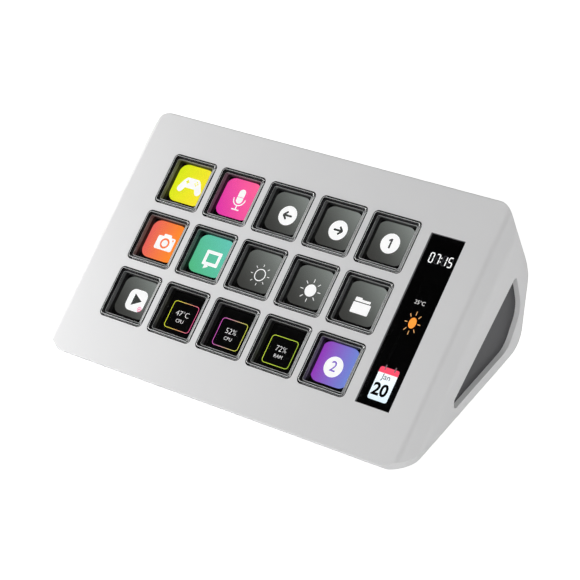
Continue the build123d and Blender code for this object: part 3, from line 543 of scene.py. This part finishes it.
white_light = glow("display_white", "#f4f4f4")
coal_light = glow("display_coal", "#3c3e3c")
black_light = glow("display_black", "#020203")
tile_light = {
    "lime": glow("display_lime", "#d2e418", "#fbe036", -15),
    "magenta": glow("display_magenta", "#d92ea6", "#ff6a92", 30),
    "coral": glow("display_coral", "#e2625a", "#ff900e", 0),
    "green": glow("display_green", "#50b67c", "#66c2b8", 40),
    # the grey tiles are the display's own colour, and their lightening towards the upper right is a painted sheen
    "coal": glow("display_grey_painted_sheen", "#3a3a38", "#888e8a", 50, blend_type="QUADRATIC"),
    "violet": glow("display_violet", "#9136b4", "#6a8ad4", 0),
}
edge_light = {
    "warm": glow("display_edge_warm", "#e4ee3a", "#f0409c", 0),
    "cool": glow("display_edge_cool", "#d860c8", "#dcec3a", 0),
    "lime": glow("display_edge_lime", "#d0e84a", "#bcdc4a", 0),
}
print("display colours:", len(tile_light) + len(edge_light) + 3)


# %% Drawing helpers, all in mm on a flat sheet
def move(bm, points, x=0.0, y=0.0, turn=0.0):
    """Turns new points round the origin, in degrees, then shifts them."""
    bmesh.ops.rotate(bm, cent=(0, 0, 0), matrix=Matrix.Rotation(math.radians(turn), 3, "Z"), verts=points)
    bmesh.ops.translate(bm, vec=(x, y, 0), verts=points)
    return points


def plate(bm, width, height, corner=0.0, x=0.0, y=0.0, turn=0.0):
    """A rounded rectangle."""
    return move(bm, rounded_square(bm, width, height, corner), x, y, turn)


def disc(bm, radius, x=0.0, y=0.0, sides=40, turn=0.0):
    """A filled circle, or with few sides a triangle or another regular shape."""
    known = set(bm.verts)
    bmesh.ops.create_circle(bm, cap_ends=True, segments=sides, radius=radius)
    return move(bm, [point for point in bm.verts if point not in known], x, y, turn)


def outline(bm, points, width):
    """Leaves only a band of the face that the points bound."""
    face = points[0].link_faces[0]
    bmesh.ops.inset_individual(bm, faces=[face], thickness=width, use_even_offset=True)
    bmesh.ops.delete(bm, geom=[face], context="FACES_ONLY")


def rays(bm, start, end, width, count=8):
    """Short round-ended strokes round the origin."""
    for number in range(count):
        turn = 360 * number / count
        points = rounded_square(bm, end - start, width, width / 2.2, 3)
        move(bm, points, (start + end) / 2)
        move(bm, points, turn=turn)


def words(bm, text, size, x=0.0, y=0.0, bolder=0.0):
    """Plain figures from Blender's own font, centred. bolder is what each stroke gains at either side, in mm."""
    curve = bpy.data.curves.new("figures", "FONT")
    curve.body = text
    curve.size = size
    curve.offset = bolder
    curve.align_x = "CENTER"
    curve.align_y = "CENTER"
    curve.resolution_u = 3
    written = bpy.data.objects.new("figures", curve)
    mesh = bpy.data.meshes.new_from_object(written)
    known = set(bm.verts)
    bm.from_mesh(mesh)
    bpy.data.objects.remove(written)
    bpy.data.meshes.remove(mesh)
    return move(bm, [point for point in bm.verts if point not in known], x, y)


def lay_down(bm, name, place, material, spread=13.0):
    """Gives a drawing its picture map and thickness, and lays it on the display."""
    picture = bm.loops.layers.uv.new("picture")
    for face in bm.faces:
        for corner in face.loops:
            corner[picture].uv = (corner.vert.co.x / spread + 0.5, corner.vert.co.y / spread + 0.5)
    raised = bmesh.ops.extrude_face_region(bm, geom=bm.faces[:])["geom"]
    raised_points = [item for item in raised if isinstance(item, bmesh.types.BMVert)]
    bmesh.ops.translate(bm, vec=(0, 0, PLATE), verts=raised_points)
    bmesh.ops.recalc_face_normals(bm, faces=bm.faces)
    return make_piece(bm, name, place, material)


print("drawing helpers: plate, disc, outline, rays, words")

# %% [markdown]
# Each mark is a few plates and discs. A drawing has two sheets: what is light, and what is cut out of the light and
# shows the tile's colour. The marks are everyday signs, such as a gamepad, arrows, suns and plain numbers.


# %% Marks of the top row
def draw_gamepad(mark, cut):
    plate(mark, 6.2, 3.4, 1.3, 0, 0.75)
    for side in (-1, 1):
        plate(mark, 2.3, 4.8, 1.1, side * 2.95, -0.45, side * 27)
    plate(cut, 1.4, 0.45, 0.1, -1.75, 0.95)
    plate(cut, 0.45, 1.4, 0.1, -1.75, 0.95)
    for number in range(4):
        turn = math.radians(90 * number)
        disc(cut, 0.28, 1.75 + 0.55 * math.cos(turn), 0.95 + 0.55 * math.sin(turn), 12)


def draw_microphone(mark, cut):
    outline(mark, disc(mark, 2.35, 0, 0.6), 0.36)
    bmesh.ops.bisect_plane(
        mark, geom=mark.verts[:] + mark.edges[:] + mark.faces[:], plane_co=(0, 0.7, 0), plane_no=(0, 1, 0),
        clear_outer=True,
    )
    plate(mark, 2.4, 4.8, 1.19, 0, 1.5)
    plate(mark, 0.4, 1.4, 0.1, 0, -2.2)
    plate(mark, 2.8, 0.4, 0.15, 0, -3.0)
    plate(cut, 2.4, 0.18, 0.0, 0, 1.2)


def draw_arrow(way):
    """way is 1 for an arrow to the right and -1 for one to the left."""
    def draw(mark, cut):
        disc(mark, 3.2)
        plate(cut, 3.2, 0.66, 0.25, 0, 0)
        for side in (-1, 1):
            plate(cut, 2.0, 0.66, 0.25, way * 0.92, side * 0.6, -way * side * 45)
    return draw


def draw_one(mark, cut):
    disc(mark, 3.2)
    plate(cut, 0.6, 3.1, 0.1, 0.15, 0)
    plate(cut, 1.15, 0.55, 0.1, -0.25, 1.15, 35)


print("marks of the top row: gamepad, microphone, arrows, number one")


# %% Marks of the middle row
def draw_camera(mark, cut):
    plate(mark, 6.9, 4.5, 0.6, 0, -0.35)
    plate(mark, 3.0, 1.4, 0.4, 0, 2.05)
    points = disc(cut, 1.75, 0, -0.3)
    outline(cut, points, 0.62)
    disc(cut, 0.3, 2.6, 1.15, 16)


def draw_speech(mark, cut):
    points = plate(mark, 5.9, 4.9, 0.3, 0, 0.5)
    outline(mark, points, 1.05)
    disc(mark, 1.1, -1.3, -2.3, 3, 150)


def draw_sun_outline(mark, cut):
    outline(mark, disc(mark, 2.0), 0.3)
    rays(mark, 2.7, 3.5, 0.2)


def draw_sun(mark, cut):
    disc(mark, 1.95)
    rays(mark, 2.6, 3.7, 0.22)


def draw_folder(mark, cut):
    plate(mark, 2.3, 0.9, 0.25, -1.75, 2.15)
    plate(mark, 5.4, 0.75, 0.15, -0.2, 1.75)
    plate(mark, 6.2, 3.4, 0.3, 0, -0.65)


print("marks of the middle row: camera, speech bubble, two suns, folder")


# %% Marks of the bottom row
def draw_play(mark, cut):
    plate(mark, 7.1, 7.1, 2.1, 0, 0)
    disc(cut, 2.3, -0.25, 0.1, 3, -90)


def draw_reading(number, label):
    def draw(mark, cut):
        words(mark, number, 2.5, 0, 0.75, -0.045)
        words(mark, label, 1.6, 0, -1.6, -0.02)
    return draw


def draw_two(mark, cut):
    disc(mark, 3.2)
    words(cut, "2", 4.6, 0, 0, 0.03)


# each key: its colour, its mark, and how far the mark lies right of and above the middle, in mm
key_pictures = {
    "r1c1": ("lime", draw_gamepad, 0.0, 0.2),
    "r1c2": ("magenta", draw_microphone, 0.45, -0.15),
    "r1c3": ("coal", draw_arrow(-1), 0.4, -0.3),
    "r1c4": ("coal", draw_arrow(1), 0.25, -0.3),
    "r1c5": ("coal", draw_one, -0.2, 0.25),
    "r2c1": ("coral", draw_camera, 0.6, 0.1),
    "r2c2": ("green", draw_speech, 0.75, -0.85),
    "r2c3": ("coal", draw_sun_outline, 0.5, -0.7),
    "r2c4": ("coal", draw_sun, 0.35, -0.6),
    "r2c5": ("coal", draw_folder, -0.2, -0.7),
    "r3c1": ("coal", draw_play, 0.4, -0.4),
    "r3c2": ("warm", draw_reading("47°C", "CPU"), -0.25, -0.7),
    "r3c3": ("cool", draw_reading("52%", "CPU"), -0.2, -1.05),
    "r3c4": ("lime_edge", draw_reading("72%", "RAM"), -0.2, -1.2),
    "r3c5": ("violet", draw_two, -0.2, -0.4),
}
print("pictures drawn:", len(key_pictures))

# %% [markdown]
# The display's own grid of pictures is a little narrower than the grid of keys, and it lies a little to the
# left of it, so that from the user's side each picture sits centred behind its window.

# %% Lay the pictures on the display
TILE_WIDTH = 13.4
TILE_HEIGHT = 12.7
TILE_RAISED = 0.35
TILE_CORNER = 3.0
EDGE_WIDTH = 9.8
EDGE_HEIGHT = 9.0
EDGE_CORNER = 1.1
EDGE_LINE = 0.17
PICTURE_UP = 0.35
display_depth = (face_level - reach("lcd_panel", out_of_face)[1]) / MM

for key, (colour, draw, mark_x, mark_up) in key_pictures.items():
    picture_left = 0.35 + 0.1 * int(key[-1])
    x = key_x[key] - picture_left * MM
    slope = key_slope[key] + PICTURE_UP * MM
    tile, mark, cut = bmesh.new(), bmesh.new(), bmesh.new()
    if colour in tile_light:
        plate(tile, TILE_WIDTH, TILE_HEIGHT, TILE_CORNER, 0, TILE_RAISED)
        lay_down(tile, "tile_" + key, on_face(x, slope, display_depth), tile_light[colour])
    else:
        outline(tile, plate(tile, EDGE_WIDTH, EDGE_HEIGHT, EDGE_CORNER, mark_x, mark_up), EDGE_LINE)
        glowing = edge_light[colour.replace("_edge", "")]
        lay_down(tile, "edge_" + key, on_face(x, slope, display_depth), glowing, spread=EDGE_WIDTH)
    draw(mark, cut)
    x, slope = x + mark_x * MM, slope + mark_up * MM
    lay_down(mark, "mark_" + key, on_face(x, slope, display_depth - PLATE), white_light)
    if len(cut.faces):
        inside = tile_light[colour] if colour != "coal" else coal_light
        lay_down(cut, "detail_" + key, on_face(x, slope, display_depth - 2 * PLATE), inside)
    else:
        cut.free()

badge = bmesh.new()
outline(badge, disc(badge, 0.8), 0.2)
plate(badge, 0.8, 0.2)
plate(badge, 0.2, 0.8)
badge_place = on_face(key_x["r3c1"] + 2.4 * MM, key_slope["r3c1"] - 2.45 * MM, display_depth - 2 * PLATE)
lay_down(badge, "badge_r3c1", badge_place, glow("display_pink", "#ee5c98"))
print("display lies", round(display_depth, 2), "mm below the face")

# %% [markdown]
# ## The status display
#
# The narrow display at the right shows a clock, the weather and the date. Its figures are built of bars, as on a
# seven-segment clock: a dictionary says which bars each figure lights, and the bars that are off still show faintly.

# %% Clock figures
BARS = {
    "top": (0, 1, 0), "upper_right": (0.5, 0.5, 90), "lower_right": (0.5, -0.5, 90), "bottom": (0, -1, 0),
    "lower_left": (-0.5, -0.5, 90), "upper_left": (-0.5, 0.5, 90), "centre": (0, 0, 0),
}
LIT = {
    "0": ("top", "upper_right", "lower_right", "bottom", "lower_left", "upper_left"),
    "7": ("top", "upper_right", "lower_right"),
    "1": ("upper_right", "lower_right"),
    "5": ("top", "upper_left", "centre", "lower_right", "bottom"),
}


def clock_figure(bm, figure, x, y, width, height, thick, off=False):
    """Draws the bars that a figure lights, or with off the ones that it leaves dark."""
    for bar, (right, up, turn) in BARS.items():
        if (bar in LIT[figure]) != off:
            length = (width if turn == 0 else height / 2) - thick * 0.55
            points = rounded_square(bm, length, thick, thick * 0.3, 2)
            move(bm, points, turn=turn)
            move(bm, points, x + right * width, y + up * height / 2)


print("bars in a figure:", len(BARS))

# %% Place of the status window
KEY_WINDOW = 17.15
WINDOW_STEP_TOP = 2.2
WINDOW_STEP_FOOT = 0.4
strip_x = middle("strip_display", across)
window_high = key_slope["r1c1"] + (KEY_WINDOW / 2 - WINDOW_STEP_TOP) * MM
window_low = key_slope["r3c1"] - (KEY_WINDOW / 2 - WINDOW_STEP_FOOT) * MM
window_length = window_high - window_low
strip_depth = (face_level - reach("strip_display", out_of_face)[1]) / MM
print("status window:", round(window_length / MM, 1), "mm long")
print("its display lies", round(strip_depth, 2), "mm below the face")


def on_strip(share, layer=0, shift=0.0):
    """A place on the status display, as a share of the window's length from its top; shift across in mm."""
    return on_face(strip_x + shift * MM, window_high - share * window_length, strip_depth - layer * PLATE)


# %% Lay the clock and the weather
FIGURE_WIDTH = 1.2
FIGURE_HEIGHT = 2.95
LIT_BAR = 0.34
UNLIT_BAR = 0.28
CLOCK = 0.127
WARMTH = 0.384
WEATHER = 0.50

clock, ghost = bmesh.new(), bmesh.new()
for figure, x in zip("0715", (-3.2, -1.2, 1.2, 3.2)):
    clock_figure(clock, figure, x, 0, FIGURE_WIDTH, FIGURE_HEIGHT, LIT_BAR)
    clock_figure(ghost, figure, x, 0, FIGURE_WIDTH, FIGURE_HEIGHT, UNLIT_BAR, off=True)
for y in (-0.6, 0.6):
    disc(clock, 0.2, 0, y, 12)
lay_down(clock, "clock_figures", on_strip(CLOCK), white_light)
lay_down(ghost, "clock_unlit", on_strip(CLOCK), glow("display_unlit", "#303033"))

warmth, sun, sun_rays = bmesh.new(), bmesh.new(), bmesh.new()
words(warmth, "25°C", 1.75, bolder=-0.02)
lay_down(warmth, "temperature_figures", on_strip(WARMTH, shift=-0.45), white_light)
disc(sun, 1.6)
rays(sun_rays, 2.3, 3.5, 0.22)
for drawing in (sun, sun_rays):
    bmesh.ops.scale(drawing, vec=(0.76, 1.05, 1), verts=drawing.verts)
lay_down(sun, "weather_sun", on_strip(WEATHER), glow("display_orange", "#ff9a3c"))
lay_down(sun_rays, "weather_rays", on_strip(WEATHER), glow("display_amber", "#f7bd7a"))
print("clock, temperature and sun, as shares of the window's length:", CLOCK, WARMTH, WEATHER)

# %% Lay the calendar page
PAGE_WIDTH = 6.6
PAGE_HEIGHT = 10.1
PAGE_CORNER = 0.7
PAGE_SHIFT = -0.3
CALENDAR = 0.862

page, header, rings, date = bmesh.new(), bmesh.new(), bmesh.new(), bmesh.new()
plate(page, PAGE_WIDTH, PAGE_HEIGHT, PAGE_CORNER)
plate(header, PAGE_WIDTH, 1.8, PAGE_CORNER, 0, 4.15)
plate(header, PAGE_WIDTH, 0.9, 0.0, 0, 3.7)
for x in (-1.6, 1.7):
    plate(rings, 0.4, 1.6, 0.15, x, 5.0)
words(date, "20", 5.2, -0.3, -1.9, 0.16)
words(date, "Jan", 2.5, -0.1, 2.2)
white_page = glow("display_page", "#d6e8f2", "#f6f6f6", 90)
lay_down(page, "calendar_page", on_strip(CALENDAR, 0, PAGE_SHIFT), white_page, spread=PAGE_HEIGHT)
lay_down(header, "calendar_header", on_strip(CALENDAR, 1, PAGE_SHIFT), glow("display_red", "#f0506a"))
lay_down(rings, "calendar_rings", on_strip(CALENDAR, 2, PAGE_SHIFT), glow("display_pale", "#6f6266"))
lay_down(date, "calendar_figures", on_strip(CALENDAR, 1, PAGE_SHIFT), black_light)
print("calendar page:", PAGE_WIDTH, "by", PAGE_HEIGHT, "mm")

# %% [markdown]
# A thin grey strip fills the gap round the clear window of the status display, as painted shade for the recess's
# wall. All that shows of it is a fine grey line down the sides of the recess. It is a flat frame, set on edge in the
# gap and given the gap's depth.

# %% Painted shade strip round the status window
WINDOW_WIDTH = 11.8
LENS_GAP = 0.1
LENS_DEPTH = 0.6
EASE = 0.02
shade_strip = bmesh.new()
outline(shade_strip, plate(shade_strip, WINDOW_WIDTH - EASE, window_length / MM - EASE), LENS_GAP - EASE)
depth_added = bmesh.ops.extrude_face_region(shade_strip, geom=shade_strip.faces[:])["geom"]
deepened = [item for item in depth_added if isinstance(item, bmesh.types.BMVert)]
bmesh.ops.translate(shade_strip, vec=(0, 0, LENS_DEPTH), verts=deepened)
bmesh.ops.recalc_face_normals(shade_strip, faces=shade_strip.faces)
shade_strip_place = on_face(strip_x, (window_high + window_low) / 2, LENS_DEPTH + 2 * EASE)
make_piece(shade_strip, "window_shade_strip", shade_strip_place, shade_strip_finish)
print("gasket:", round(window_length / MM, 1), "mm long,", LENS_DEPTH, "mm deep")

# %% [markdown]
# ## Floor, light and backdrop
#
# This is a plain product shot: white ground, soft light, no hard shadow. The floor is white and takes the object's
# own soft shadow. It gets a little light of its own, seen only by the camera, by reflections and through clear
# plastic, which brings it up to paper white without lighting the object. A round lamp stands near the left end of
# the face and makes it brighter towards that side. A larger and weaker one fills the right side, another fills the
# back, and the pale surroundings do the rest.

# %% Floor
FLOOR_SIZE = 4.0
FLOOR_LIFT = 0.68
floor_mesh = bpy.data.meshes.new("floor")
bm = bmesh.new()
bmesh.ops.create_grid(bm, x_segments=1, y_segments=1, size=FLOOR_SIZE)
bm.to_mesh(floor_mesh)
bm.free()
floor = bpy.data.objects.new("floor", floor_mesh)
bpy.context.scene.collection.objects.link(floor)

paper = bpy.data.materials.new("white_paper_floor")
paper.use_nodes = True
tree = paper.node_tree
tree.nodes.clear()
path = add_node(tree, "ShaderNodeLightPath")
seen = add_node(
    tree, "ShaderNodeMath", links={0: path.outputs["Is Camera Ray"], 1: path.outputs["Is Glossy Ray"]},
    operation="MAXIMUM",
)
seen = add_node(
    tree, "ShaderNodeMath", links={0: seen.outputs[0], 1: path.outputs["Is Transmission Ray"]}, operation="MAXIMUM"
)
lift = add_node(tree, "ShaderNodeMath", {1: FLOOR_LIFT}, {0: seen.outputs[0]}, operation="MULTIPLY")
matt = add_node(tree, "ShaderNodeBsdfDiffuse", {"Color": linear("#f2f2f2")})
lamp = add_node(tree, "ShaderNodeEmission", links={"Strength": lift.outputs[0]})
both = add_node(tree, "ShaderNodeAddShader", links={0: matt.outputs[0], 1: lamp.outputs[0]})
add_node(tree, "ShaderNodeOutputMaterial", links={"Surface": both.outputs[0]})
floor_mesh.materials.append(paper)
print("floor:", floor.dimensions.x, "m wide")

# %% Surroundings: a pale studio that gets darker overhead
world = bpy.data.worlds.new("pale_studio")
bpy.context.scene.world = world
world.use_nodes = True
tree = world.node_tree
tree.nodes.clear()
direction = add_node(tree, "ShaderNodeTexCoord").outputs["Generated"]
height = add_node(tree, "ShaderNodeSeparateXYZ", links={0: direction})
falloff = add_node(tree, "ShaderNodeValToRGB", links={0: height.outputs["Z"]})
stops = falloff.color_ramp.elements
stops[0].position, stops[0].color = 0.0, linear("#ffffff")
stops[1].position, stops[1].color = 0.6, linear("#262626")
middle_stop = stops.new(0.3)
middle_stop.color = linear("#c4c4c4")
sky = add_node(tree, "ShaderNodeBackground", {"Strength": 1.0}, {"Color": falloff.outputs["Color"]})
add_node(tree, "ShaderNodeOutputWorld", links={"Surface": sky.outputs[0]})
print("surroundings: white at the horizon, grey overhead")


# %% Soft lamp
def soft_lamp(name, towards, distance, size, watts):
    """A round area lamp that stands in a direction from the face and shines on it; distance and size in metres."""
    data = bpy.data.lights.new(name, "AREA")
    data.shape = "DISK"
    data.size = size
    data.energy = watts
    lamp_object = bpy.data.objects.new(name, data)
    way = Vector(towards).normalized()
    lamp_object.location = aim + way * distance
    lamp_object.rotation_euler = (-way).to_track_quat("-Z", "Y").to_euler()
    bpy.context.scene.collection.objects.link(lamp_object)
    return lamp_object


lamps = [
    soft_lamp("key_light", (-0.85, -0.36, 0.38), 0.4, 0.2, 1.15),
    soft_lamp("side_fill", (0.7, -0.55, 0.55), 0.9, 0.6, 3.5),
    soft_lamp("back_fill", (-0.35, 0.9, 0.3), 0.9, 0.6, 3.0),
]
for lamp_object in lamps:
    print(lamp_object.name, "gives", lamp_object.data.energy, "W from a disc of", lamp_object.data.size, "m")

# %% Picture settings
bpy.context.scene.view_settings.view_transform = "Standard"
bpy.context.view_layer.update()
